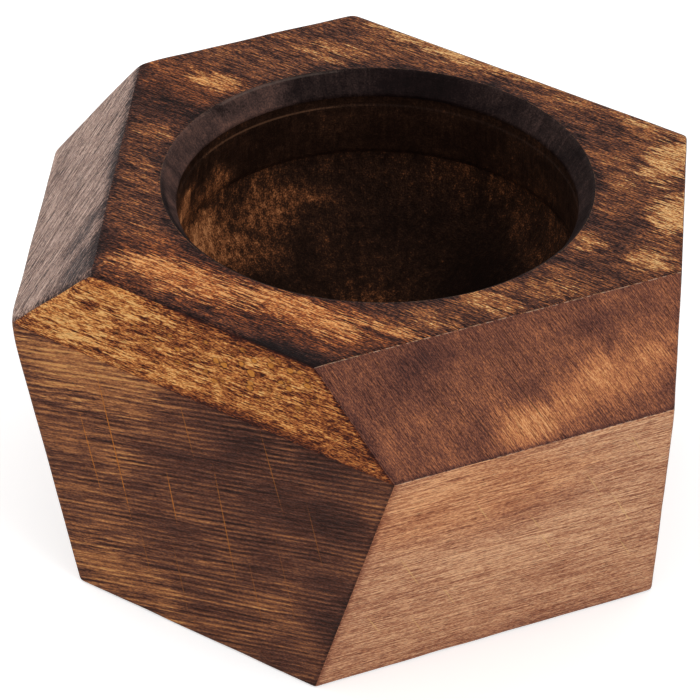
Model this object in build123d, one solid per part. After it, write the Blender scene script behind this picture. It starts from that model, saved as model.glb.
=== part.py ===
from build123d import *
import math
import os

# A faceted block of hardwood with a turned hollow, free standing on its base.
# Millimetres, +Z up. The origin is where the axis of the hollow meets the base.

# Overall sizes
HEIGHT = 53.0           # base to top face
WAIST_DROP = 12.0       # top face down to the widest outline
BODY_REACH = 42.0       # nominal distance from the axis to a side

# The six sides are planed by hand, so each cut differs from the nominal reach.
# Order: left, front left, front right, right, back right, back left.
FIRST_SIDE = 180.0      # compass angle of the left side's outward direction
TOP_CUTS = (-5.2, -0.1, -4.8, 0.6, -6.6, 0.8)
WAIST_CUTS = (6.7, 1.8, 8.5, 0.7, 7.6, 1.4)
BASE_CUTS = (-2.6, 0.5, -3.6, -0.7, -3.0, 0.0)

EDGE_ROUND = 0.5        # worn radius along the outer edges

# The turned hollow
MOUTH_R = 30.0          # rim of the mouth at the top face
RIM_DEPTH = 3.0         # depth of the steep cone between rim and lip
LIP_R = 28.0            # neck radius, the narrowest place of the hollow
NECK_DEPTH = 12.5       # top face down to the foot of the straight neck
UNDERCUT = 0.6          # how far the bowl is cut back behind the neck
BOWL_DEPTH = 32.0       # top face down to the bottom of the bowl


def outline(cuts, z):
    """Corner points of a hexagon whose sides lie at the nominal reach plus each cut."""
    corners = []
    for i, cut in enumerate(cuts):
        a = math.radians(FIRST_SIDE + 60 * i)
        along = ((BODY_REACH + cuts[(i + 1) % 6]) - (BODY_REACH + cut) * 0.5) / math.sin(math.pi / 3)
        x = (BODY_REACH + cut) * math.cos(a) - along * math.sin(a)
        y = (BODY_REACH + cut) * math.sin(a) + along * math.cos(a)
        corners.append((x, y, z))
    return corners


def facets_between(upper, lower):
    """One flat facet for each side, joining two outlines corner to corner."""
    faces = []
    for i in range(6):
        loop = [upper[i - 1], upper[i], lower[i], lower[i - 1]]
        faces.append(Face(Wire.make_polygon(loop)))
    return faces


def faceted_block():
    top = outline(TOP_CUTS, HEIGHT)
    waist = outline(WAIST_CUTS, HEIGHT - WAIST_DROP)
    base = outline(BASE_CUTS, 0)
    caps = [Face(Wire.make_polygon(top)), Face(Wire.make_polygon(base))]
    skin = Shell(caps + facets_between(top, waist) + facets_between(waist, base))
    block = Solid(skin)
    return fillet(block.edges(), EDGE_ROUND)


def hollow():
    """The space removed on the lathe: rim cone, straight neck, rounded bowl."""
    bowl_r = LIP_R + UNDERCUT
    with BuildPart() as cutter:
        with BuildSketch(Plane.XZ):
            with BuildLine():
                Polyline(
                    (0, HEIGHT),
                    (MOUTH_R, HEIGHT),
                    (LIP_R, HEIGHT - RIM_DEPTH),
                    (LIP_R, HEIGHT - NECK_DEPTH),
                    (bowl_r, HEIGHT - NECK_DEPTH - UNDERCUT),
                )
                EllipticalCenterArc(
                    (0, HEIGHT - NECK_DEPTH - UNDERCUT),
                    bowl_r,
                    BOWL_DEPTH - NECK_DEPTH - UNDERCUT,
                    start_angle=270,
                    arc_size=90,
                )
                Line((0, HEIGHT - BOWL_DEPTH), (0, HEIGHT))
            make_face()
        revolve(axis=Axis.Z)
    return cutter.part


block = faceted_block() - hollow()
block.label = "block"

os.makedirs("parts", exist_ok=True)
export_step(block, "parts/block.step")
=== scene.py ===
import bpy
import math
import numpy as np
from mathutils import Matrix, Vector, noise


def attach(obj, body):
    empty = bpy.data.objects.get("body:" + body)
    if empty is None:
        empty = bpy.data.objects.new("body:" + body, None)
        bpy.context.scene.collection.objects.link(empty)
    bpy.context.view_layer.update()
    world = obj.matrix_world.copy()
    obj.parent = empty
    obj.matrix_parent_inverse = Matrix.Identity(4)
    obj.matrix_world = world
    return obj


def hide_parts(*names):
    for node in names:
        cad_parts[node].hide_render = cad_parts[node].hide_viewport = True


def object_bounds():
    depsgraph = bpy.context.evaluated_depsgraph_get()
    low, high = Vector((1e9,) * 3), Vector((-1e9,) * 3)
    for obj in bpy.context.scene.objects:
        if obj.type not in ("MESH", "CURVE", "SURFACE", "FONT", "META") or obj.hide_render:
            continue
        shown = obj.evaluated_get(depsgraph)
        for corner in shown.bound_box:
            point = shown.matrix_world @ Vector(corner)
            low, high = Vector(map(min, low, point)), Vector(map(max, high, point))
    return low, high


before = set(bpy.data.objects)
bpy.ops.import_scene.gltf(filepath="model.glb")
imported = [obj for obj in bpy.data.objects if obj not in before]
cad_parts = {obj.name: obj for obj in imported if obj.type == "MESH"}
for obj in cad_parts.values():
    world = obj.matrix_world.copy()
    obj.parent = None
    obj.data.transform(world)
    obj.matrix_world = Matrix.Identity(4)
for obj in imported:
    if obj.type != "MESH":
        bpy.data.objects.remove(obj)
cad_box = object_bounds()

# Sizes in millimetres, the same as the CAD part. +Z is up and -Y is to the front.
MM = 0.001
HEIGHT = round(cad_box[1][2] / MM, 3)
WAIST_DROP = 12.0       # top face down to the widest outline
BODY_REACH = 42.0       # nominal distance from the axis to a side
WAIST_Z = HEIGHT - WAIST_DROP

# The six sides are planed by hand, so each cut differs from the nominal reach.
SIDES = 6
SIDE_NAMES = ("left", "front_left", "front_right", "right", "back_right", "back_left")
FIRST_SIDE = 180.0      # direction that the left side faces, in degrees
TOP_REACH = [BODY_REACH + cut for cut in (-5.2, -0.1, -4.8, 0.6, -6.6, 0.8)]
WAIST_REACH = [BODY_REACH + cut for cut in (6.7, 1.8, 8.5, 0.7, 7.6, 1.4)]
BASE_REACH = [BODY_REACH + cut for cut in (-2.6, 0.5, -3.6, -0.7, -3.0, 0.0)]

MOUTH_R = 30.0          # rim of the mouth at the top face
LIP_R = 28.0            # neck radius
LIP_Z = HEIGHT - 3.0    # foot of the rim's cone
NECK_FOOT_Z = HEIGHT - 12.5
BOWL_TOP_Z = NECK_FOOT_Z - 0.6
BOWL_FLOOR_Z = HEIGHT - 32.0

# Finer shapes that only the looks have, in millimetres.
BOWL_R = LIP_R + 0.35
LEDGE_Z = LIP_Z - 1.9   # a fine tool step in the neck
RIM_EASE = 0.3          # how far the mouth's rubbed edge runs inward
RIM_DROP = 0.4          # and how far down
LIP_STAND = 0.12        # how far the lip and the ledge stand in from the wall beside them
NECK_FLARE = 0.12       # how much wider the neck gets towards its foot
BOWL_UNEVEN = 0.0022    # how uneven the bowl's wall is, as a share of its radius
BOWL_STILL_R = 3.0      # inside this radius it stays even

# Wear of the outer edges. Lengths are millimetres, and the rest are shares.
CRISP = 0.17            # how far an edge is rounded over
SOFT = 0.42             # what the soft edges have on top of that
SOFT_WIDE = 2.6         # how far the softness spreads to both sides of an edge
SOFT_LONG = 15.0        # how far it runs from the softest corner
SOFT_EVERYWHERE = 0.25  # the share of it that is left further along
UNEVEN = 0.55           # how much the rounding comes and goes
SAG = 0.02              # how far the flats sag
DENT = 0.24             # how deep the dents in soft edges are, against their softness
WEAR_STEPS = 6          # steps in the search for the worn surface
MOUTH_BORDER = 0.2      # ring round the mouth that stays flat
MOUTH_FADE = 2.5        # distance from the mouth over which the wear comes in
SLACK = 0.01            # less than this below the top face still counts as on it

# Mesh columns along each side, and rows in each stretch from the base to the bottom of the bowl.
# The base shows only the outer half of its rows, because they crowd together at one end only.
PER_SIDE = 56
AROUND = SIDES * PER_SIDE
BASE_ROWS, LOWER_ROWS, UPPER_ROWS, TOP_ROWS = 24, 44, 30, 26
SLOPE_ROWS, STRIP_ROWS, NECK_ROWS, BOWL_ROWS = 8, 4, 12, 44


# ---------------------------------------------------------------- the block's mesh

def side_angle(i):
    """Direction that side i faces, in radians."""
    return math.radians(FIRST_SIDE + 360 / SIDES * i)


def corners(reach, z):
    """The six corners of an outline, corner i lying between side i and side i + 1."""
    turn = 2 * math.pi / SIDES
    out = []
    for i in range(SIDES):
        a = side_angle(i)
        here, after = reach[i], reach[(i + 1) % SIDES]
        along = (after - here * math.cos(turn)) / math.sin(turn)
        out.append((here * math.cos(a) - along * math.sin(a), here * math.sin(a) + along * math.cos(a), z))
    return np.array(out)


def outlines():
    """Corners of the base, the waist and the top face."""
    return corners(BASE_REACH, 0.0), corners(WAIST_REACH, WAIST_Z), corners(TOP_REACH, HEIGHT)


def eased(count, crowd=0.9):
    """Steps from 0 to 1 that crowd together at both ends, where the edges are."""
    t = np.linspace(0, 1, count + 1)
    return t - crowd * np.sin(2 * np.pi * t) / (2 * np.pi)


def ring_on(c):
    """A closed ring of points round a hexagon, starting at the corner before side 0."""
    s = eased(PER_SIDE)[:-1, None]
    return np.concatenate([c[i - 1] * (1 - s) + c[i] * s for i in range(SIDES)])


def circle(r, z):
    """A ring on the hollow, whose points line up with those of the outlines."""
    a = side_angle(-0.5) + np.arange(AROUND) * 2 * np.pi / AROUND
    return np.stack([r * np.cos(a), r * np.sin(a), np.full(AROUND, z)], 1)


def facet_planes():
    """Outward normals and reaches of all flats: top, base, six upper and six lower facets."""
    planes = [((0, 0, 1), HEIGHT), ((0, 0, -1), 0.0)]
    for reach, z in ((TOP_REACH, HEIGHT), (BASE_REACH, 0.0)):
        for i in range(SIDES):
            a = side_angle(i)
            lean = (WAIST_REACH[i] - reach[i]) / (z - WAIST_Z)
            normal = np.array([math.cos(a), math.sin(a), lean])
            size = np.linalg.norm(normal)
            planes.append((normal / size, (WAIST_REACH[i] + lean * WAIST_Z) / size))
    return np.array([p[0] for p in planes]), np.array([p[1] for p in planes])


def near_segment(p, a, b):
    """Distance of each point from the line between two corners."""
    t = np.clip((p - a) @ (b - a) / ((b - a) @ (b - a)), 0, 1)
    return np.linalg.norm(p - (a + t[:, None] * (b - a)), axis=1)


def wave(p, size, offset):
    """Smooth noise, about -1 to 1, at each point."""
    return np.array([noise.noise(Vector(q) / size + Vector((offset, 0, 0))) for q in p])


def edge_radius(p):
    """How far the edges near each point are rounded over."""
    # The corner between the left and front left sides is worn soft, and so are the three
    # edges that meet there.
    _, waist, top = outlines()
    soft = np.zeros(len(p))
    for end in (top[-1], top[1], waist[0]):
        soft = np.maximum(soft, np.exp(-((near_segment(p, top[0], end) / SOFT_WIDE) ** 2)))
    near_corner = np.exp(-((np.linalg.norm(p - top[0], axis=1) / SOFT_LONG) ** 2))
    radius = CRISP + SOFT * soft * (SOFT_EVERYWHERE + (1 - SOFT_EVERYWHERE) * near_corner)
    return radius * (1 + UNEVEN * wave(p, size=7.0, offset=3.0))


def worn(p):
    """Moves points of the sharp block onto the worn one: edges rounded over, flats sagging a little."""
    normals, reach = facet_planes()
    radius = edge_radius(p)
    sag = SAG * (1 + wave(p, size=14.0, offset=11.0))
    sag += DENT * (radius - CRISP).clip(0) * (1 + wave(p, size=9.0, offset=20.0))
    k = radius[:, None]
    p = p.copy()
    for _ in range(WEAR_STEPS):
        # A smooth maximum of the distances past all flats is zero on the rounded surface.
        g = (p @ normals.T - reach) / k
        peak = g.max(1, keepdims=True)
        e = np.exp(g - peak)
        total = e.sum(1, keepdims=True)
        gradient = (e / total) @ normals
        value = (k * (peak + np.log(total)))[:, 0] + sag
        p -= (value / (gradient ** 2).sum(1))[:, None] * gradient
    return p


def outside_rings():
    """Rings from the middle of the base, up the outside and over the top face to the mouth."""
    base, waist, top = (ring_on(c) for c in outlines())
    mouth = circle(MOUTH_R + MOUTH_BORDER, HEIGHT)
    from_middle = 2 * eased(BASE_ROWS)[BASE_ROWS // 2 + 1:] - 1
    rings, kinds = [], []
    for kind, start, end, steps in (("base", 0 * base, base, from_middle),
                                    ("lower", base, waist, eased(LOWER_ROWS)[1:]),
                                    ("upper", waist, top, eased(UPPER_ROWS)[1:]),
                                    ("top", top, mouth, eased(TOP_ROWS, crowd=0.85)[1:])):
        for s in steps:
            rings.append(start * (1 - s) + end * s)
            kinds.append(kind)
    sharp = np.concatenate(rings)
    # The wear fades out towards the mouth, so that the rim stays a true circle.
    share = np.clip((np.hypot(sharp[:, 0], sharp[:, 1]) - MOUTH_R - MOUTH_BORDER) / MOUTH_FADE, 0, 1)
    share[sharp[:, 2] < HEIGHT - SLACK] = 1
    shaped = sharp * (1 - share[:, None]) + worn(sharp) * share[:, None]
    shaped[:, 2] = shaped[:, 2].clip(0, HEIGHT)
    return [shaped], kinds


def hollow_profile():
    """(radius, height, kind) down the inside of the mouth. Small offsets ease each edge."""
    slope_top = np.array([MOUTH_R - RIM_EASE, HEIGHT - RIM_DROP])
    slope_foot = np.array([LIP_R + LIP_STAND, LIP_Z + 0.2])
    rim = [(MOUTH_R + 0.02, HEIGHT - 0.05), (MOUTH_R - 0.14, HEIGHT - 0.16), tuple(slope_top)]
    slope = [tuple(slope_top * (1 - t) + slope_foot * t) for t in np.linspace(0.15, 1, SLOPE_ROWS)]
    lip = [(LIP_R + 0.03, LIP_Z), (LIP_R, LIP_Z - 0.25), (LIP_R + LIP_STAND, LIP_Z - 0.5)]
    strip = [(LIP_R + 0.14, z) for z in np.linspace(LIP_Z - 0.8, LEDGE_Z + 0.15, STRIP_ROWS)]
    neck_top = LEDGE_Z - 0.3
    ledge = [(LIP_R + LIP_STAND, LEDGE_Z), (LIP_R + 0.02, LEDGE_Z - 0.08), (LIP_R, neck_top)]
    neck = [(LIP_R + NECK_FLARE * t, neck_top - t * (neck_top - NECK_FOOT_Z))
            for t in eased(NECK_ROWS, crowd=0.5)[1:]]
    step = [(LIP_R + 0.2, NECK_FOOT_Z - 0.2), (BOWL_R, BOWL_TOP_Z)]
    deep = BOWL_TOP_Z - BOWL_FLOOR_Z
    bowl = [(BOWL_R * math.cos(a), BOWL_TOP_Z - deep * math.sin(a))
            for a in np.linspace(0.03, 1.545, BOWL_ROWS)]
    stretches = (("rim", rim + slope + lip), ("neck", strip + ledge + neck + step), ("bowl", bowl))
    return [(r, z, kind) for kind, points in stretches for r, z in points]


def hollow_rings():
    """Rings from the mouth down to the bottom of the bowl, whose wall is a little uneven."""
    rings, kinds = [], []
    for r, z, kind in hollow_profile():
        ring = circle(r, z)
        if kind == "bowl" and r > BOWL_STILL_R:
            ring[:, :2] *= (1 + BOWL_UNEVEN * wave(ring, size=5.0, offset=40.0))[:, None]
        rings.append(ring)
        kinds.append(kind)
    return rings, kinds


def block_mesh(slots):
    """One closed skin made of rings: up the outside, over the top and down into the hollow."""
    outside, outside_kinds = outside_rings()
    hollow, hollow_kinds = hollow_rings()
    kinds = outside_kinds + hollow_kinds
    ends = [(0, 0, 0.0), (0, 0, BOWL_FLOOR_Z)]
    verts = np.concatenate(outside + hollow + [ends])
    faces, slot_of = [], []
    for row in range(1, len(kinds)):
        kind = kinds[row]
        a, b = (row - 1) * AROUND, row * AROUND
        for j in range(AROUND):
            after = (j + 1) % AROUND
            faces.append((a + j, a + after, b + after, b + j))
            side = "_" + SIDE_NAMES[j // PER_SIDE] if kind in ("upper", "lower") else ""
            slot_of.append(slots.index(kind + side))
    # A fan of triangles closes the skin at each end.
    last = (len(kinds) - 1) * AROUND
    base_middle, bowl_middle = len(verts) - 2, len(verts) - 1
    for j in range(AROUND):
        faces.append(((j + 1) % AROUND, j, base_middle))
        slot_of.append(slots.index("base"))
    for j in range(AROUND):
        faces.append((last + j, last + (j + 1) % AROUND, bowl_middle))
        slot_of.append(slots.index("bowl"))
    mesh = bpy.data.meshes.new("faceted_block")
    mesh.from_pydata((verts * MM).tolist(), [], faces)
    mesh.polygons.foreach_set("material_index", slot_of)
    mesh.polygons.foreach_set("use_smooth", [True] * len(faces))
    mesh.update()
    return mesh


# ---------------------------------------------------------------- building materials

def linear(code):
    """A colour written as six hex digits, turned into linear light."""
    parts = [int(code[i:i + 2], 16) / 255 for i in (0, 2, 4)]
    return tuple(c / 12.92 if c <= 0.04045 else ((c + 0.055) / 1.055) ** 2.4 for c in parts) + (1.0,)


class Nodes:
    """Short calls for building one material's node tree."""

    def __init__(self, name):
        self.material = bpy.data.materials.new(name)
        self.material.use_nodes = True
        self.tree = self.material.node_tree
        self.shader = self.tree.nodes["Principled BSDF"]

    def add(self, kind, inputs=(), **settings):
        node = self.tree.nodes.new(kind)
        for key, value in settings.items():
            setattr(node, key, value)
        for key, value in dict(inputs).items():
            self.put(node.inputs[key], value)
        return node

    def put(self, socket, value):
        if isinstance(value, bpy.types.NodeSocket):
            self.tree.links.new(value, socket)
        else:
            socket.default_value = value

    def math(self, kind, a, b=0.0, c=0.0):
        return self.add("ShaderNodeMath", {0: a, 1: b, 2: c}, operation=kind).outputs[0]

    def sum(self, *terms):
        total = terms[0]
        for term in terms[1:]:
            total = self.math("ADD", total, term)
        return total

    def less(self, a, b):
        return self.math("SUBTRACT", a, b)

    def times(self, a, b):
        return self.math("MULTIPLY", a, b)

    def radius(self, x, y):
        return self.math("SQRT", self.math("ADD", self.times(x, x), self.times(y, y)))

    def remap(self, value, low, high, start=0.0, end=1.0, smooth=True):
        return self.add("ShaderNodeMapRange", {"Value": value, "From Min": low, "From Max": high,
                                               "To Min": start, "To Max": end},
                        interpolation_type="SMOOTHSTEP" if smooth else "LINEAR").outputs[0]

    def placed(self, vector, at, turn, size):
        """Coordinates counted from a place, along turned axes, in steps of the given size."""
        return self.add("ShaderNodeMapping", {"Vector": vector, "Location": at, "Rotation": turn,
                                              "Scale": size}, vector_type="TEXTURE").outputs[0]

    def noise(self, vector, detail=3.0, rough=0.55, twist=0.0):
        """Noise about -0.5 to 0.5."""
        value = self.add("ShaderNodeTexNoise", {"Vector": vector, "Scale": 1.0, "Detail": detail,
                                                "Roughness": rough, "Distortion": twist}).outputs[0]
        gain = 2.2
        return self.math("MULTIPLY_ADD", value, gain, -0.5 * gain)

    def split(self, vector):
        return self.add("ShaderNodeSeparateXYZ", {0: vector}).outputs[:3]

    def length(self, vector):
        return self.add("ShaderNodeVectorMath", {0: vector}, operation="LENGTH").outputs["Value"]

    def ramp(self, value, stops):
        node = self.add("ShaderNodeValToRGB", {0: value})
        marks = node.color_ramp.elements
        while len(marks) < len(stops):
            marks.new(0.5)
        for mark, (position, code) in zip(marks, stops):
            mark.position = position
            mark.color = linear(code)
        return node.outputs[0]

    def blend(self, amount, a, b, kind="MIX"):
        node = self.add("ShaderNodeMix", data_type="RGBA", blend_type=kind)
        first, second = 6, 7    # the two colour sockets
        for key, value in ((0, amount), (first, a), (second, b)):
            self.put(node.inputs[key], value)
        return node.outputs[2]

    def stained(self, amount, colour, code):
        """The colour, multiplied by another where amount is 1."""
        return self.blend(amount, colour, self.blend(1.0, colour, linear(code), "MULTIPLY"))

    def bump(self, height, strength, distance):
        """Raised detail; distance is in metres."""
        node = self.add("ShaderNodeBump", {"Height": height, "Strength": strength, "Distance": distance})
        self.put(self.shader.inputs["Normal"], node.outputs[0])


def facet_frame(loop):
    """Middle of a facet and its axes: along the side, up the slope, and outward."""
    middle = loop.mean(0)
    normal = np.linalg.svd(loop - middle)[2][2]
    if normal[:2] @ middle[:2] < 0:
        normal = -normal
    across = np.cross((0, 0, 1), normal)
    across /= np.linalg.norm(across)
    return middle, across, np.cross(normal, across), normal


# ---------------------------------------------------------------- wood on the flat facets
#
# A facet's look is a dict. Places are (u, v) in millimetres from the facet's middle, u along the
# side and v up the slope. On the top face they are x and y. Edge 0 of a side facet is its upper
# one, 2 its lower one, and 1 and 3 its two ends. Edge i of the top face lies beside side i + 1.
#   grain      direction of the grain, in degrees from u
#   tone       middle tone of the stain, where 0 is nearly black and 1 is the palest wood
#   stops      the colour at some tones
#   seed       shifts the noises, so that no two facets are alike
#   cloud, streak, strand, fibre, speck    length and width of five noises, coarse to fine
#   weights    how much each of the five changes the tone
#   ragged     how much streak, strand and fibre break up the borders of patches
#   soft       where a patch starts and stops fading, 1 being its half size
#   patches    (u, v, half length, half width, lean from the grain, change of tone)
#   tints      (u, v, half length, half width, lean from the grain, colour to multiply by)
#   rings      spacing, waver and strength of growth rings
#   burns      (edge, width, change of tone)
#   mouth      width and change of tone of the scorched ring round the mouth, and its wear
#   spots      size, share, strength and colour of pale blobs, and (u, v, half length, half width)
#   rays       (direction, length, width, least and full noise, strength, colour) of pale flecks
#   lines      (u, v, half length, direction, strength, colour) of single thin lines
#   worn       strength of the rubbed pale line along each edge, and bare is its colour
#   rough, shine, bump    the surface

PORE_STAIN = "5f4840"
SPOT_RING = "6b4634"
LINE_HALF = 0.1         # half width of a single thin line
MOUTH_RUB = 0.12        # how far outside the mouth's edge the rubbed line lies
RUB_SIZE = 0.9          # size of the gaps in rubbed lines
FAR = 1000.0            # a size square to the facet, large enough to have no effect


class Facet(Nodes):
    """The wood of one flat facet, worked out in the facet's own frame in millimetres."""

    def __init__(self, name, loop, axes, look):
        super().__init__(name)
        self.loop, self.axes, self.look = loop, axes, look
        middle, across, up, normal = axes
        turn = Matrix((across, up, normal)).transposed().to_euler()
        self.coords = self.add("ShaderNodeTexCoord").outputs["Object"]
        self.local = self.placed(self.coords, tuple(middle * MM), turn, (MM, MM, MM))
        self.u, self.v, _ = self.split(self.local)
        self.streak = self.grain(*look["streak"], shift=1.0, detail=4.0, twist=0.3)
        self.strand = self.grain(*look["strand"], shift=2.0)
        self.fibre = self.stronger(self.grain(*look.get("fibre", (1.8, 0.17)), shift=3.0, detail=2.0))
        self.speck = self.stronger(self.grain(*look.get("speck", (0.5, 0.16)), shift=9.0, detail=1.0))
        self.cloud = self.grain(*look["cloud"], shift=4.0, twist=0.4)
        noises = (self.streak, self.strand, self.fibre)
        self.ragged = self.mixed(noises, look.get("ragged", (0.5, 0.5, 0.25)))

    def mixed(self, noises, weights):
        return self.sum(*(self.times(n, weight) for n, weight in zip(noises, weights)))

    def grain(self, along, wide, shift, lean=0.0, detail=3.0, twist=0.0):
        """Noise about -0.5 to 0.5, drawn out along the grain. Each use has its own shift."""
        seed = self.look["seed"]
        where = self.placed(self.local, (seed * 7 + shift, seed * 3, seed * 50),
                            (0, 0, math.radians(self.look["grain"] + lean)), (along, wide, wide))
        return self.noise(where, detail, twist=twist)

    def stronger(self, value):
        return self.remap(value, -0.3, 0.3, -0.5, 0.5)

    def along_grain(self, u, v, lean, size):
        """Coordinates counted from a place on the facet, along the grain and across it."""
        return self.placed(self.local, (u, v, 0), (0, 0, math.radians(self.look["grain"] + lean)), size)

    def reach(self, u, v, half, wide, lean=0.0):
        """Distance from the middle of an oval, 1 being its border, which the grain makes ragged."""
        return self.less(self.length(self.along_grain(u, v, lean, (half, wide, FAR))), self.ragged)

    def from_edge(self, i):
        """Distance from the facet's edge i."""
        middle, across, up, _ = self.axes
        flat = (self.loop - middle) @ np.stack([across, up], 1)
        start, end = flat[i], flat[(i + 1) % len(flat)]
        outward = np.array([(end - start)[1], (start - end)[0]])
        outward /= math.copysign(np.linalg.norm(outward), outward @ start)
        here = self.math("ADD", self.times(self.u, outward[0]), self.times(self.v, outward[1]))
        return self.less(outward @ start, here)

    def from_mouth(self):
        """Distance outward from the edge of the mouth."""
        x, y, _ = self.split(self.coords)
        return self.less(self.times(self.radius(x, y), 1 / MM), MOUTH_R)

    def growth_rings(self, spacing, waver, amount):
        """Close parallel lines that waver a little, stronger in some places than in others."""
        _, across_grain, _ = self.split(self.along_grain(0, 0, 0, (1, 1, 1)))
        phase = self.sum(self.times(across_grain, 2 * math.pi / spacing), self.times(self.streak, waver),
                         self.times(self.cloud, 2 * waver))
        swing = self.remap(self.cloud, -0.35, 0.3, 0.3 * amount, amount)
        return self.times(self.math("SINE", phase), swing)

    def tone(self):
        """The tone of the stain all over the facet."""
        look = self.look
        noises = (self.cloud, self.streak, self.strand, self.fibre, self.speck)
        parts = [look["tone"], self.mixed(noises, look["weights"])]
        if "rings" in look:
            parts.append(self.growth_rings(*look["rings"]))
        inner, outer = look.get("soft", (0.5, 1.25))
        for *place, gain in look.get("patches", ()):
            parts.append(self.remap(self.reach(*place), inner, outer, gain, 0.0))
        for i, width, amount in look.get("burns", ()):
            near = self.math("ADD", self.from_edge(i), self.times(self.ragged, -0.5 * width))
            parts.append(self.remap(near, 0.0, width, amount, 0.0))
        if "mouth" in look:
            width, amount, _ = look["mouth"]
            near = self.math("ADD", self.from_mouth(), self.times(self.cloud, 1.2 * width))
            parts.append(self.remap(near, 0.0, width, amount, 0.0))
        return self.sum(*parts)

    def tinted(self, colour):
        """Warmer or cooler areas."""
        for *place, code in self.look.get("tints", ()):
            amount = self.remap(self.reach(*place), 0.5, 1.5, 1.0, 0.0)
            colour = self.stained(amount, colour, code)
        return colour

    def pored(self, colour):
        """Pores: short dark dashes along the grain."""
        dashes = self.grain(along=1.5, wide=0.12, shift=5.0, detail=1.0)
        self.pores = self.remap(dashes, 0.18, 0.42, 0.0, 0.6)
        return self.stained(self.pores, colour, PORE_STAIN)

    def spotted(self, colour):
        """Rounded pale blobs of softer wood, each with a darker ring."""
        if "spots" not in self.look:
            return colour
        size, share, gain, code, area = self.look["spots"]
        local = self.along_grain(0, 0, 0, (1.5 * size, size, size))
        cells = self.add("ShaderNodeTexVoronoi", {"Vector": local, "Scale": 1.0})
        chosen = self.times(self.remap(self.split(cells.outputs["Color"])[0], 1 - share, 1.02 - share),
                            self.remap(self.reach(*area), 0.6, 1.3, 1.0, 0.0))
        # Distance from a cell's middle, bent a little by the grain.
        out = self.sum(cells.outputs["Distance"], self.mixed((self.streak, self.strand), (0.2, 0.2)))
        ring = self.times(chosen, self.remap(out, 0.42, 0.56, 0.7 * gain, 0.0))
        blob = self.times(chosen, self.remap(out, 0.27, 0.41, gain, 0.0))
        return self.blend(blob, self.stained(ring, colour, SPOT_RING), linear(code))

    def flecked(self, colour):
        """Rays: thin pale flecks across the grain, and single thin lines."""
        for direction, along, wide, low, high, gain, code in self.look.get("rays", ()):
            lean = direction - self.look["grain"]
            flecks = self.grain(along, wide, shift=6.0 + wide, lean=lean, detail=1.0)
            colour = self.blend(self.remap(flecks, low, high, 0.0, gain), colour, linear(code))
        for u, v, half, direction, gain, code in self.look.get("lines", ()):
            size = (half, LINE_HALF, FAR)
            line = self.placed(self.local, (u, v, 0), (0, 0, math.radians(direction)), size)
            reach = self.less(self.length(line), self.times(self.fibre, 0.5))
            colour = self.blend(self.remap(reach, 0.5, 1.25, gain, 0.0), colour, linear(code))
        return colour

    def rubbed(self, colour):
        """Wear: broken pale lines along the edges."""
        lines = [(self.from_edge(i), amount) for i, amount in self.look.get("worn", {}).items()]
        if "mouth" in self.look:
            lines.append((self.less(self.from_mouth(), MOUTH_RUB), self.look["mouth"][2]))
        if not lines:
            return colour
        dots = self.placed(self.local, (0, 0, 0), (0, 0, 0), (RUB_SIZE, RUB_SIZE, RUB_SIZE))
        broken = self.remap(self.noise(dots, rough=0.7), -0.12, 0.2)
        bare = linear(self.look.get("bare", "b98f66"))
        for near, amount in lines:
            colour = self.blend(self.times(self.remap(near, 0.02, 0.2, amount, 0.0), broken), colour, bare)
        return colour

    def finish(self, colour):
        """The colour, the roughness, the sheen and the raised grain."""
        look = self.look
        self.put(self.shader.inputs["Base Color"], colour)
        rough = look.get("rough", 0.55)
        uneven = self.math("ADD", self.fibre, self.strand)
        self.put(self.shader.inputs["Roughness"],
                 self.remap(uneven, -0.5, 0.5, rough + 0.1, rough - 0.1, smooth=False))
        self.shader.inputs["Specular IOR Level"].default_value = look.get("shine", 0.07)
        noises = (self.streak, self.strand, self.fibre, self.speck, self.pores)
        self.bump(self.mixed(noises, (0.4, 0.5, 0.5, 0.4, -0.5)), look.get("bump", 0.6), 0.0002)


def wood(name, loop, axes, look):
    """Stained wood for one flat facet."""
    facet = Facet(name, loop, axes, look)
    colour = facet.ramp(facet.tone(), look["stops"])
    for layer in (facet.tinted, facet.pored, facet.spotted, facet.flecked, facet.rubbed):
        colour = layer(colour)
    facet.finish(colour)
    return facet.material


GOLDEN = ((0.05, "1b1010"), (0.22, "38201c"), (0.38, "543329"), (0.5, "704330"), (0.6, "8d5334"),
          (0.72, "ad673c"), (0.84, "cc864e"), (0.94, "e6a764"), (1.0, "f6c586"))


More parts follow.
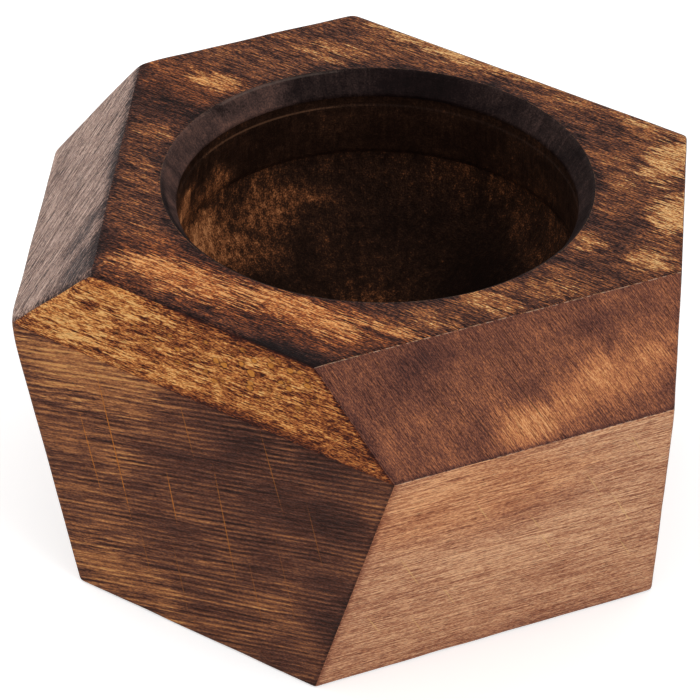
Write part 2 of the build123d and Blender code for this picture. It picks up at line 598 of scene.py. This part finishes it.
def top_look():
    """Dark stain with golden patches, scorched along three edges and round the mouth."""
    return dict(
        grain=-28, tone=0.41, seed=2.0, stops=GOLDEN, bump=0.8,
        cloud=(9.0, 3.6), streak=(6.0, 0.9), strand=(3.4, 0.3),
        weights=(0.34, 0.14, 0.28, 0.36, 0.34), ragged=(0.4, 0.45, 0.3), mouth=(2.2, -0.16, 0.5),
        patches=((-25, 24, 4.6, 2.2, 8, 0.34), (-8, 35, 5.0, 1.8, 0, 0.2), (-33, 10, 3.6, 1.8, 0, 0.18),
                 (-33, 1, 3.0, 1.4, 0, 0.14), (41, 10, 3.6, 7.5, 0, 0.42), (33, 3, 3.4, 1.8, 0, 0.2),
                 (42, -4, 3.8, 6.0, 0, 0.46), (29, -12, 3.4, 2.2, 0, 0.3), (38, -16, 3.6, 2.6, 0, 0.34),
                 (-24, -27, 11.0, 3.6, -2, 0.36), (-8, -33, 10.0, 3.4, 4, 0.4),
                 (17, -28, 5.0, 2.4, 8, 0.22), (25, -24.5, 3.4, 2.0, 0, 0.18),
                 (5, -36, 4.5, 1.4, 6, 0.38), (10, -33, 4.0, 1.6, 8, 0.16),
                 (10, 36, 14.0, 3.4, -3, 0.26), (3, 38.5, 9.0, 2.4, -3, 0.22),
                 (-10, 32.5, 4.0, 1.4, 0, 0.24), (-35, -4, 4.0, 4.0, 0, 0.06),
                 (-32, 17, 8.0, 3.6, 0, -0.2), (26, 25, 14.0, 1.6, -3, 0.12),
                 (-6, -43.5, 9.0, 1.9, 0, -0.32), (36, 17, 4.0, 2.0, 0, 0.16),
                 (35.5, -7, 2.6, 3.0, 0, -0.16), (-38, -19, 3.4, 5.0, 0, -0.22),
                 (-27, -17, 5.0, 2.0, 0, 0.1)),
        tints=((-14, -31, 24.0, 7.0, 0, "ffe6d4"), (-27, 20, 12.0, 7.0, 0, "fff0e2")),
        burns=((0, 1.8, -0.26), (1, 1.4, -0.08), (5, 1.6, -0.16)), worn={1: 0.85, 2: 0.3, 3: 0.3})


def upper_left_look():
    """Greyish, partly a painted sheen over its own gloss, with fibres running slantwise and two scorched
    edges.
    """
    return dict(
        grain=144, tone=0.53, seed=3.0, rough=0.45, shine=0.1, bump=0.6,
        cloud=(14.0, 4.0), streak=(10.0, 0.6), strand=(8.0, 0.24), fibre=(4.5, 0.15),
        weights=(0.14, 0.16, 0.42, 0.6, 0.36),
        # The grey in these stops is partly a painted sheen: light reflected from the pale surroundings,
        # laid into the colour.
        stops=((0.05, "2f2120"), (0.2, "513a34"), (0.36, "795d52"), (0.5, "9f7e70"), (0.64, "b49282"),
               (0.8, "cbaa99"), (1.0, "e7c7b4")),
        patches=((13, 4.6, 5.0, 2.6, 0, -0.36), (22, 6, 6.4, 3.8, 0, -0.44),
                 (-4, 8, 9.0, 2.2, 36, -0.24), (26, -2, 4.0, 2.4, 0, -0.2)),
        burns=((0, 1.7, -0.4), (1, 1.4, -0.26)), worn={3: 0.3})


def upper_front_left_look():
    """Golden and speckled, with pale blobs and a scorched upper edge."""
    return dict(
        grain=3, tone=0.47, seed=4.0, bump=0.8,
        cloud=(12.0, 3.0), streak=(5.0, 1.0), strand=(2.4, 0.4),
        weights=(0.24, 0.32, 0.44, 0.36, 0.34), ragged=(0.7, 0.6, 0.3),
        stops=((0.05, "351813"), (0.22, "57291b"), (0.38, "894826"), (0.5, "aa6134"),
               (0.62, "c67a40"), (0.78, "e69b54"), (1.0, "fdc37a")),
        patches=((-21, -1, 8.0, 3.8, -3, 0.27), (-2, -3.6, 20.0, 1.6, -3, 0.16),
                 (-15, 3.8, 10.0, 2.2, -3, 0.28), (8, 0.6, 9.0, 2.2, -4, 0.14),
                 (14, 3.4, 6.0, 1.6, -3, 0.12), (12, -7, 19.0, 2.2, -3, -0.34),
                 (26, -3, 7.0, 2.0, -12, -0.12), (-22, 6, 7.0, 2.4, -3, -0.24),
                 (-21, -6, 8.0, 1.8, -3, 0.14), (-7, 0, 4.0, 1.4, 0, 0.14)),
        spots=(1.0, 0.36, 0.85, "de9040", (8, 1.5, 17.0, 3.6)),
        burns=((0, 0.5, -0.7), (0, 1.6, -0.16), (1, 0.7, -0.3), (2, 0.4, -0.12)))


def upper_front_right_look():
    """Reddish brown and smooth, with soft golden patches, two dark cracks and pale rubbed edges."""
    return dict(
        grain=-70, tone=0.4, seed=5.0, bare="dab49a", bump=0.45,
        cloud=(9.0, 4.0), streak=(8.0, 0.7), strand=(6.0, 0.2), fibre=(1.6, 0.14), speck=(0.35, 0.14),
        weights=(0.16, 0.08, 0.16, 0.22, 0.24), ragged=(0.35, 0.2, 0.1), soft=(0.2, 1.4),
        stops=((0.05, "402825"), (0.25, "60392f"), (0.42, "7c4c3a"), (0.56, "9c6041"),
               (0.7, "b8734c"), (0.85, "ce8b58"), (1.0, "e2a370")),
        patches=((13, -2.6, 14.0, 3.6, 80, 0.28), (-1, -6, 5.0, 3.4, 72, 0.38),
                 (5, -5, 2.0, 4.0, 0, 0.08), (20, 1.6, 5.0, 4.0, 70, 0.08),
                 (25, -6, 3.0, 3.4, 0, 0.16), (11, -1, 2.2, 3.6, 30, 0.12),
                 (-4.5, -1.5, 3.0, 2.0, 0, 0.1), (2.5, -2.5, 3.4, 1.2, -4, -0.14),
                 (15, 5.2, 8.0, 1.7, 74, -0.1), (-9, 6.5, 8.0, 2.2, 70, -0.14),
                 (-9, -6, 2.4, 2.4, 0, -0.12), (-26, -2, 6.0, 3.4, 0, -0.18),
                 (-15, 4, 4.0, 8.0, 0, -0.1)),
        lines=((0, -1, 7.0, -69, 0.8, "33201c"), (-7, -4, 4.0, -69, 0.7, "33201c"),
               (-12, 2, 5.0, -70, 0.4, "3b241f")),
        burns=((0, 1.2, -0.08), (1, 1.2, -0.1), (2, 0.9, -0.26), (3, 1.8, -0.16)),
        worn={0: 0.9, 2: 1.0, 3: 0.3, 1: 0.4})


def lower_front_left_look():
    """Dark brown with close wavering rings and a few orange ray lines across them."""
    orange, dull, faint = "c0722a", "a96628", "a0602a"
    return dict(
        grain=15, tone=0.46, seed=6.0,
        cloud=(18.0, 7.0), streak=(14.0, 0.9), strand=(7.0, 0.36),
        weights=(0.26, 0.26, 0.38, 0.1, 0.16), rings=(0.76, 2.2, 0.16),
        stops=((0.05, "261410"), (0.22, "3f231a"), (0.38, "563226"), (0.5, "6e4331"),
               (0.62, "8a5739"), (0.78, "b07045"), (1.0, "da9c5e")),
        patches=((-18, 17, 14.0, 5.0, -10, 0.31), (8, 10, 13.0, 6.0, -20, -0.1),
                 (-13, -16, 10.0, 5.0, -20, 0.24), (-20, 6, 10.0, 5.0, -10, 0.16),
                 (14, 18.5, 15.0, 4.0, -14, -0.22), (7, 1, 8.0, 3.5, -10, -0.12),
                 (24, -7, 6.0, 7.0, 0, -0.2), (24, 10, 5.0, 5.0, 0, -0.18),
                 (-18, -7, 9.0, 5.0, -10, 0.08), (-6, 17, 5.0, 3.0, 0, -0.1)),
        lines=((-14, 8, 12.0, -78, 0.95, orange), (-18, 4, 6.0, -76, 0.85, orange),
               (-4, 2, 4.0, -80, 0.85, orange), (-1, 15, 4.0, -76, 0.6, dull),
               (5, 1, 9.0, -80, 0.7, "b06a2a"), (13, 14, 6.0, -74, 0.55, dull),
               (10, -9, 6.0, -78, 0.5, faint), (-9, -10, 4.0, -78, 0.4, faint),
               (20, 6, 5.0, -76, 0.4, faint), (-26, -2, 7.0, -76, 0.35, faint),
               (-3, -12, 6.0, -79, 0.4, faint), (15, -4, 8.0, -77, 0.3, faint)),
        burns=((0, 0.6, -0.1), (1, 0.8, -0.14)), worn={2: 0.3})


def lower_front_right_look():
    """Palest facet, partly a painted floor sheen: even brown with fine fibres and short pale ray flecks."""
    pale = "d6a870"
    return dict(
        grain=-1, tone=0.53, seed=7.0, bare="dcb898", rough=0.5, bump=0.35,
        cloud=(14.0, 5.0), streak=(12.0, 0.8), strand=(9.0, 0.26), fibre=(3.6, 0.15),
        weights=(0.2, 0.14, 0.38, 0.48, 0.4), rings=(0.5, 2.4, 0.05),
        # These pale, pinkish stops are partly a painted sheen: the white floor reflected in this
        # downward-leaning facet.
        stops=((0.05, "7d4b37"), (0.22, "976147"), (0.38, "af7656"), (0.5, "bb8361"),
               (0.62, "c5906a"), (0.78, "d5a179"), (1.0, "e9b78c")),
        patches=((-15, 17, 9.0, 3.5, 0, 0.2), (2, 7, 9.0, 4.0, 0, -0.14),
                 (14, -20, 16.0, 2.2, 0, -0.22), (12, 1, 10.0, 5.0, 0, 0.08),
                 (-17, -6, 8.0, 5.0, 0, -0.06), (19, 14, 7.0, 4.0, 0, 0.08),
                 (-3, -4, 10.0, 4.0, 0, 0.14), (-10, -20, 12.0, 2.4, 0, -0.12)),
        lines=((17, 1, 5.5, -61, 0.8, "dcae78"), (-15, 0, 4.0, -62, 0.7, pale),
               (6, -2, 3.2, -61, 0.7, pale), (16, 16, 2.6, -60, 0.7, pale),
               (-8, -8, 3.0, -61, 0.65, pale), (-19, -10, 3.0, -61, 0.65, pale),
               (11, 9, 4.0, -61, 0.6, pale), (-6, 10, 3.0, -62, 0.6, pale),
               (-12, -13, 3.0, -62, 0.55, pale), (3, 4, 2.6, -60, 0.6, pale),
               (19, -8, 3.0, -61, 0.6, pale)),
        tints=((-9, 14, 16.0, 8.0, 0, "fff1e2"),),
        burns=((1, 1.0, -0.12), (2, 1.4, -0.14), (3, 1.0, -0.3), (3, 4.0, -0.1)),
        worn={0: 0.8, 2: 0.3})


def plain_lower_look(**changes):
    """Plain stained wood with rings and rays, for the base and the other lower facets."""
    look = dict(
        grain=4, tone=0.47,
        cloud=(18.0, 7.0), streak=(14.0, 0.9), strand=(7.0, 0.3),
        weights=(0.4, 0.22, 0.42, 0.24, 0.26), rings=(0.66, 2.2, 0.1),
        stops=((0.05, "33201a"), (0.22, "4e3226"), (0.38, "694232"), (0.5, "7d5139"), (0.62, "956342"),
               (0.78, "b37c50"), (1.0, "d49f68")),
        rays=((-70, 9.0, 0.2, 0.38, 0.5, 0.4, "b47a40"),), worn={0: 0.4, 1: 0.3, 3: 0.3, 2: 0.3})
    return dict(look, **changes)


def plain_upper_look(**changes):
    """Plain scorched and golden wood, for the other upper facets."""
    look = dict(
        grain=-50, tone=0.47, stops=GOLDEN,
        cloud=(12.0, 4.0), streak=(7.0, 0.9), strand=(4.0, 0.3),
        weights=(0.4, 0.2, 0.32, 0.32, 0.3),
        burns=((0, 1.6, -0.15), (2, 1.2, -0.12)), worn={0: 0.4, 2: 0.4, 1: 0.3, 3: 0.3})
    return dict(look, **changes)


def other_look(plain, i):
    """A plain look whose tone and grain differ a little from side to side."""
    look = plain()
    return plain(seed=11.0 + 3 * i, tone=look["tone"] + 0.04 * math.sin(2.4 * i),
                 grain=look["grain"] + 9 * math.sin(1.7 * i))


def facet_materials():
    """The wood of the top face, the base and the twelve side facets, by slot name."""
    base, waist, top = outlines()
    x, y, z = np.eye(3)
    own_looks = {"upper_left": upper_left_look, "upper_front_left": upper_front_left_look,
                 "upper_front_right": upper_front_right_look,
                 "lower_front_left": lower_front_left_look,
                 "lower_front_right": lower_front_right_look}
    made = {"top": wood("wood_top", top, (HEIGHT * z, x, y, z), top_look()),
            "base": wood("wood_base", base, (0 * z, x, -y, -z), plain_lower_look(seed=31.0, grain=25))}
    for i, side in enumerate(SIDE_NAMES):
        for part, high, low, plain in (("upper", top, waist, plain_upper_look),
                                       ("lower", waist, base, plain_lower_look)):
            loop = np.array([high[i - 1], high[i], low[i], low[i - 1]])
            key = part + "_" + side
            look = own_looks[key]() if key in own_looks else other_look(plain, i)
            made[key] = wood("wood_" + key, loop, facet_frame(loop), look)
    return made


# ---------------------------------------------------------------- wood inside the hollow
#
# A look for the hollow has places (x, y, z) and sizes in millimetres.
#   tone, stops    as on the facets
#   weights    how much cloud, fibres, grit and fine grain change the tone
#   across, fall    width of the fibres as a share of the radius, and their length
#   patches    (place, half sizes, change of tone)
#   wear       lowest and highest level of a pale line painted as a highlight, its strength and its colour
#   wear_at    the place where the painted highlight is strongest, and how far it runs from there

INSIDE = ((0.0, "120703"), (0.3, "1d0f08"), (0.5, "2d1b12"), (0.62, "402719"), (0.74, "6a3e25"),
          (0.87, "9a5f3a"), (1.0, "ca8858"))
LEAST_R = 0.0005        # metres, so that nothing is divided by nought on the axis


def turned(name, look):
    """Stained wood inside the hollow: fibres run down the wall and tool marks run round it."""
    m = Nodes(name)
    coords = m.add("ShaderNodeTexCoord").outputs["Object"]
    x, y, z = m.split(coords)
    level = m.times(z, 1 / MM)
    r = m.math("MAXIMUM", m.radius(x, y), LEAST_R)
    round_x, round_y = m.math("DIVIDE", x, r), m.math("DIVIDE", y, r)
    wall = m.add("ShaderNodeCombineXYZ", {0: round_x, 1: round_y, 2: level}).outputs[0]

    def pattern(vector, size, turn=0.0, detail=4.0, twist=0.0):
        return m.noise(m.placed(vector, (0, 0, 0), (0, 0, turn), size), detail, 0.6, twist)

    def spot(at, size):
        """Distance from the middle of an oval, 1 being its border."""
        return m.length(m.placed(coords, tuple(c * MM for c in at), (0, 0, 0), tuple(c * MM for c in size)))

    across = look.get("across", 0.035)
    fibres = pattern(wall, (across, across, look.get("fall", 14.0)), twist=0.2)
    fine = pattern(coords, (0.00024, 0.00024, 0.00024), detail=2.0)
    grit = pattern(coords, (0.0008, 0.0008, 0.0012), detail=3.0)
    cloud = pattern(coords, (0.011, 0.007, 0.006), 0.5, twist=0.5)
    marks = pattern(wall, (6.0, 6.0, 0.35), detail=2.0)
    noises = (cloud, fibres, grit, fine)
    tone = m.sum(look["tone"], *(m.times(n, weight) for n, weight in zip(noises, look["weights"])))
    for at, size, gain in look["patches"]:
        reach = m.less(spot(at, size), m.times(cloud, 0.5))
        tone = m.math("ADD", tone, m.remap(reach, 0.3, 1.25, gain, 0.0))
    colour = m.ramp(tone, look["stops"])
    # The wear line is a painted highlight where an edge catches the light.
    if "wear" in look:
        low, high, amount, code = look["wear"]
        at, reach = look["wear_at"]
        highlight_band = m.times(m.remap(level, low - 0.12, low), m.remap(level, high, high + 0.1, 1.0, 0.0))
        near = m.sum(cloud, m.times(fine, 0.6), m.times(spot(at, (reach, reach, reach)), -1.0))
        colour = m.blend(m.times(highlight_band, m.remap(near, -1.1, -0.4, 0.0, amount)), colour, linear(code))
    m.put(m.shader.inputs["Base Color"], colour)
    m.put(m.shader.inputs["Roughness"],
          m.remap(fine, -0.4, 0.4, look["rough"] - 0.08, look["rough"] + 0.1, smooth=False))
    m.shader.inputs["Specular IOR Level"].default_value = look.get("shine", 0.06)
    height = m.sum(m.times(fibres, 0.5), m.times(grit, look["grit"]), m.times(fine, look["grit"]),
                   m.times(marks, 0.25))
    m.bump(height, look["bump"], 0.00025)
    return m.material


def rim_wood():
    """Cone below the mouth: greyish at the left, nearly black at the back, with a painted highlight at the
    rim.
    """
    return turned("wood_rim", dict(
        tone=0.4, rough=0.6, bump=0.5, shine=0.05, grit=0.3,
        weights=(0.24, 0.12, 0.12, 0.24), across=0.022, fall=30.0,
        # The wear line here is a painted highlight: light caught by the mouth's sharp edge at the back
        # left.
        wear=(HEIGHT - 0.2, HEIGHT - 0.1, 0.16, "8a7a70"), wear_at=((-17, 24, 53), 13),
        patches=(((-29, 6, 52), (8, 16, 9), 0.24), ((-20, 21, 52), (7, 7, 9), 0.2),
                 ((4, 29, 52), (9, 6, 9), -0.14), ((-28, -12, 53), (8, 16, 0.9), -0.2),
                 ((24, 17, 52), (7, 7, 9), -0.06)),
        stops=((0.1, "0d0606"), (0.3, "180e0e"), (0.45, "2a1e1c"), (0.6, "463430"),
               (0.8, "694b41"), (1.0, "906553"))))


def neck_wood():
    """The neck: dark, partly painted shade, golden at the left from painted light, with a painted ledge
    highlight.
    """
    return turned("wood_neck", dict(
        # The low tone is partly painted shade cast by the lip.
        tone=0.37, rough=0.6, stops=INSIDE, bump=0.5, grit=0.4,
        weights=(0.26, 0.16, 0.26, 0.36),
        # The wear line here is a painted highlight where the ledge's edge catches the light.
        wear=(LEDGE_Z - 0.1, LEDGE_Z, 0.3, "7c553b"), wear_at=((-17, 22, 48), 13),
        # These patches are painted light falling on the wall at the left and at the back right.
        patches=(((-27, 9, 41), (7, 11, 5.5), 0.34), ((-28.5, -2, 45), (5, 10, 7), 0.24),
                 ((-13, 25, 45), (9, 5, 4), 0.08), ((20, 20, 43), (9, 9, 4), 0.13))))


def bowl_wood():
    """The bowl: coarser and speckled; painted light makes it paler at the left, painted shade darkest below
    the back right.
    """
    return turned("wood_bowl", dict(
        tone=0.46, rough=0.65, stops=INSIDE, bump=0.9, grit=0.5,
        weights=(0.28, 0.14, 0.32, 0.42), across=0.05,
        # The patches are painted light and shade: lighter where light falls in at the left, darker in the
        # shadow at the back right.
        patches=(((-27, 9, 37), (7, 10, 7), 0.26), ((-20, 15, 33), (14, 14, 10), 0.18),
                 ((15, 16, 25), (10, 9, 8), -0.22), ((4, 24, 30), (9, 7, 4), -0.12),
                 ((23, 16, 35), (8, 8, 8), 0.08), ((-6, 15, 24), (13, 6, 4), 0.08),
                 ((4, 27, 37), (10, 5, 3), 0.06))))


# ---------------------------------------------------------------- the block

def faceted_block():
    """The whole pot as one piece, in place of the CAD node."""
    materials = dict(facet_materials(), rim=rim_wood(), neck=neck_wood(), bowl=bowl_wood())
    mesh = block_mesh(list(materials))
    for material in materials.values():
        mesh.materials.append(material)
    piece = bpy.data.objects.new("faceted_block", mesh)
    bpy.context.scene.collection.objects.link(piece)
    return piece


block = faceted_block()
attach(block, "root")
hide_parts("block")


# ---------------------------------------------------------------- floor, light and camera, in metres

WHITE = (1, 1, 1, 1)
FLOOR_HALF = 3.0
FLOOR_DROP = 0.0001     # just below the block, so that the two don't touch
FLOOR_COLOUR = (0.8, 0.8, 0.8, 1)
FLOOR_GLOW = 0.5        # makes the floor read as white, but keeps the shadow
SKY_LIGHT, SKY_SEEN = 0.75, 1.0
LOOK_AT = (0, 0, 0.03)

CAMERA_PLACE = (0.03472, -0.49039, 0.36723)
CAMERA_TURN = (55.095, -0.627, 4.9)     # degrees
CAMERA_LENS, CAMERA_SENSOR = 216.0, 36.0     # millimetres
CAMERA_NEAR = 0.05


def floor_paint():
    """Pale paint that reads as white to the camera and in reflections."""
    m = Nodes("pale_floor")
    m.shader.inputs["Base Color"].default_value = FLOOR_COLOUR
    m.shader.inputs["Roughness"].default_value = 0.9
    m.shader.inputs["Emission Color"].default_value = WHITE
    path = m.add("ShaderNodeLightPath")
    seen = m.math("MAXIMUM", path.outputs["Is Camera Ray"], path.outputs["Is Glossy Ray"])
    m.put(m.shader.inputs["Emission Strength"], m.times(seen, FLOOR_GLOW))
    return m.material


def pale_floor():
    """A wide plain floor just below the block."""
    mesh = bpy.data.meshes.new("floor")
    half = FLOOR_HALF
    mesh.from_pydata([(-half, -half, 0), (half, -half, 0), (half, half, 0), (-half, half, 0)], [],
                     [(0, 1, 2, 3)])
    mesh.materials.append(floor_paint())
    piece = bpy.data.objects.new("floor", mesh)
    piece.location.z = -FLOOR_DROP
    bpy.context.scene.collection.objects.link(piece)
    return piece


def studio_sky():
    """Even white light from all sides, and a white background for the camera."""
    world = bpy.data.worlds.new("studio")
    bpy.context.scene.world = world
    world.use_nodes = True
    tree = world.node_tree
    background = tree.nodes["Background"]
    background.inputs["Color"].default_value = WHITE
    path = tree.nodes.new("ShaderNodeLightPath")
    strength = tree.nodes.new("ShaderNodeMapRange")
    strength.inputs["To Min"].default_value = SKY_LIGHT
    strength.inputs["To Max"].default_value = SKY_SEEN
    tree.links.new(path.outputs["Is Camera Ray"], strength.inputs["Value"])
    tree.links.new(strength.outputs[0], background.inputs["Strength"])


def softbox(name, place, size, power):
    """A square lamp that looks at the block's middle."""
    light = bpy.data.lights.new(name, "AREA")
    light.size = size
    light.energy = power
    lamp = bpy.data.objects.new(name, light)
    lamp.location = place
    lamp.rotation_euler = (Vector(LOOK_AT) - Vector(place)).to_track_quat("-Z", "Y").to_euler()
    bpy.context.scene.collection.objects.link(lamp)


def photo_camera():
    """The camera, in front of the block and looking down on it."""
    data = bpy.data.cameras.new("camera")
    data.sensor_width = CAMERA_SENSOR
    data.lens = CAMERA_LENS
    data.clip_start = CAMERA_NEAR
    camera = bpy.data.objects.new("camera", data)
    camera.location = CAMERA_PLACE
    camera.rotation_euler = tuple(math.radians(degrees) for degrees in CAMERA_TURN)
    bpy.context.scene.collection.objects.link(camera)
    bpy.context.scene.camera = camera


floor = pale_floor()
studio_sky()
softbox("key", place=(0.6, -0.5, 0.6), size=0.5, power=2.5)
softbox("side", place=(-0.75, 0.3, 0.5), size=0.5, power=1.5)
photo_camera()
bpy.context.scene.view_settings.view_transform = "Standard"
